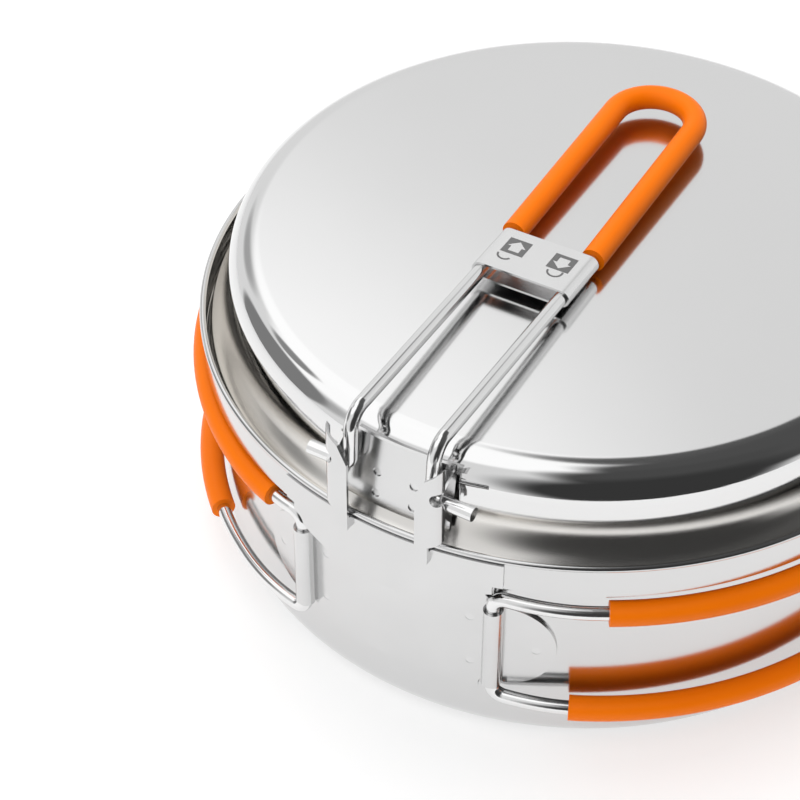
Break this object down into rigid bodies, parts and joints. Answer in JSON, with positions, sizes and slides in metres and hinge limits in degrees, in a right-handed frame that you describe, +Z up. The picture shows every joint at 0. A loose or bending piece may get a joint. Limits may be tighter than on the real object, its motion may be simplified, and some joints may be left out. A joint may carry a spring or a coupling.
{
  "type": "camping cook set",
  "caption": "Shallow steel camping pot with folding wire handles, covered by its upturned frying-pan lid whose long wire handle lies folded flat across it.",
  "frame": {"origin": "centre of the pot's flat bottom, on the surface it stands on", "axes": "+Z up, -Y towards the handle bracket, +X to the right when facing the bracket"},
  "size_m": [0.1766, 0.1695, 0.0835],
  "materials": {
    "pot_steel": "satin",
    "pan_steel": "polished",
    "bracket_steel": "satin",
    "weld_steel": "satin",
    "wire_steel": "polished",
    "lock_steel": "polished",
    "sleeve_silicone": "satin",
    "sign_ink": "matte"
  },
  "bodies": {
    "pot": {"pot_body": "pot_steel", "pot_bracket": "bracket_steel", "pot_bracket_welds": "weld_steel"},
    "pan": {"pan_body": "pan_steel", "pan_bracket": "bracket_steel", "pan_bracket_welds": "weld_steel"},
    "pan_handle": {"pan_handle_wire": "wire_steel", "pan_handle_grip": "sleeve_silicone"},
    "lock": {"handle_lock": "lock_steel"},
    "left_handle": {"left_pot_handle_wire": "wire_steel", "left_pot_handle_grip": "sleeve_silicone"},
    "right_handle": {"right_pot_handle_wire": "wire_steel", "right_pot_handle_grip": "sleeve_silicone"}
  },
  "joints": [
    {"name": "pan_lift", "type": "slide", "parent": "pot", "child": "pan", "axis": [0, 0, 1], "range_m": [0, 0.12]},
    {"name": "pan_handle_hinge", "type": "hinge", "parent": "pan", "child": "pan_handle", "pos_m": [0, -0.0812, 0.06905], "axis": [1, 0, 0], "range_deg": [0, 175]},
    {"name": "lock_slide", "type": "slide", "parent": "pan_handle", "child": "lock", "axis": [0.0244, -0.9991, 0.0336], "range_m": [0, 0.045]},
    {"name": "left_handle_hinge", "type": "hinge", "parent": "pot", "child": "left_handle", "pos_m": [-0.02278, -0.07893, 0.03135], "axis": [0, 0, 1], "range_deg": [0, 106]},
    {"name": "right_handle_hinge", "type": "hinge", "parent": "pot", "child": "right_handle", "pos_m": [0.02278, -0.07893, 0.03135], "axis": [0, 0, -1], "range_deg": [0, 106]}
  ],
  "couplings": [
    {"joint": "pan_handle_hinge", "follows": "pan_lift", "rad_per_m": 25.45}
  ]
}
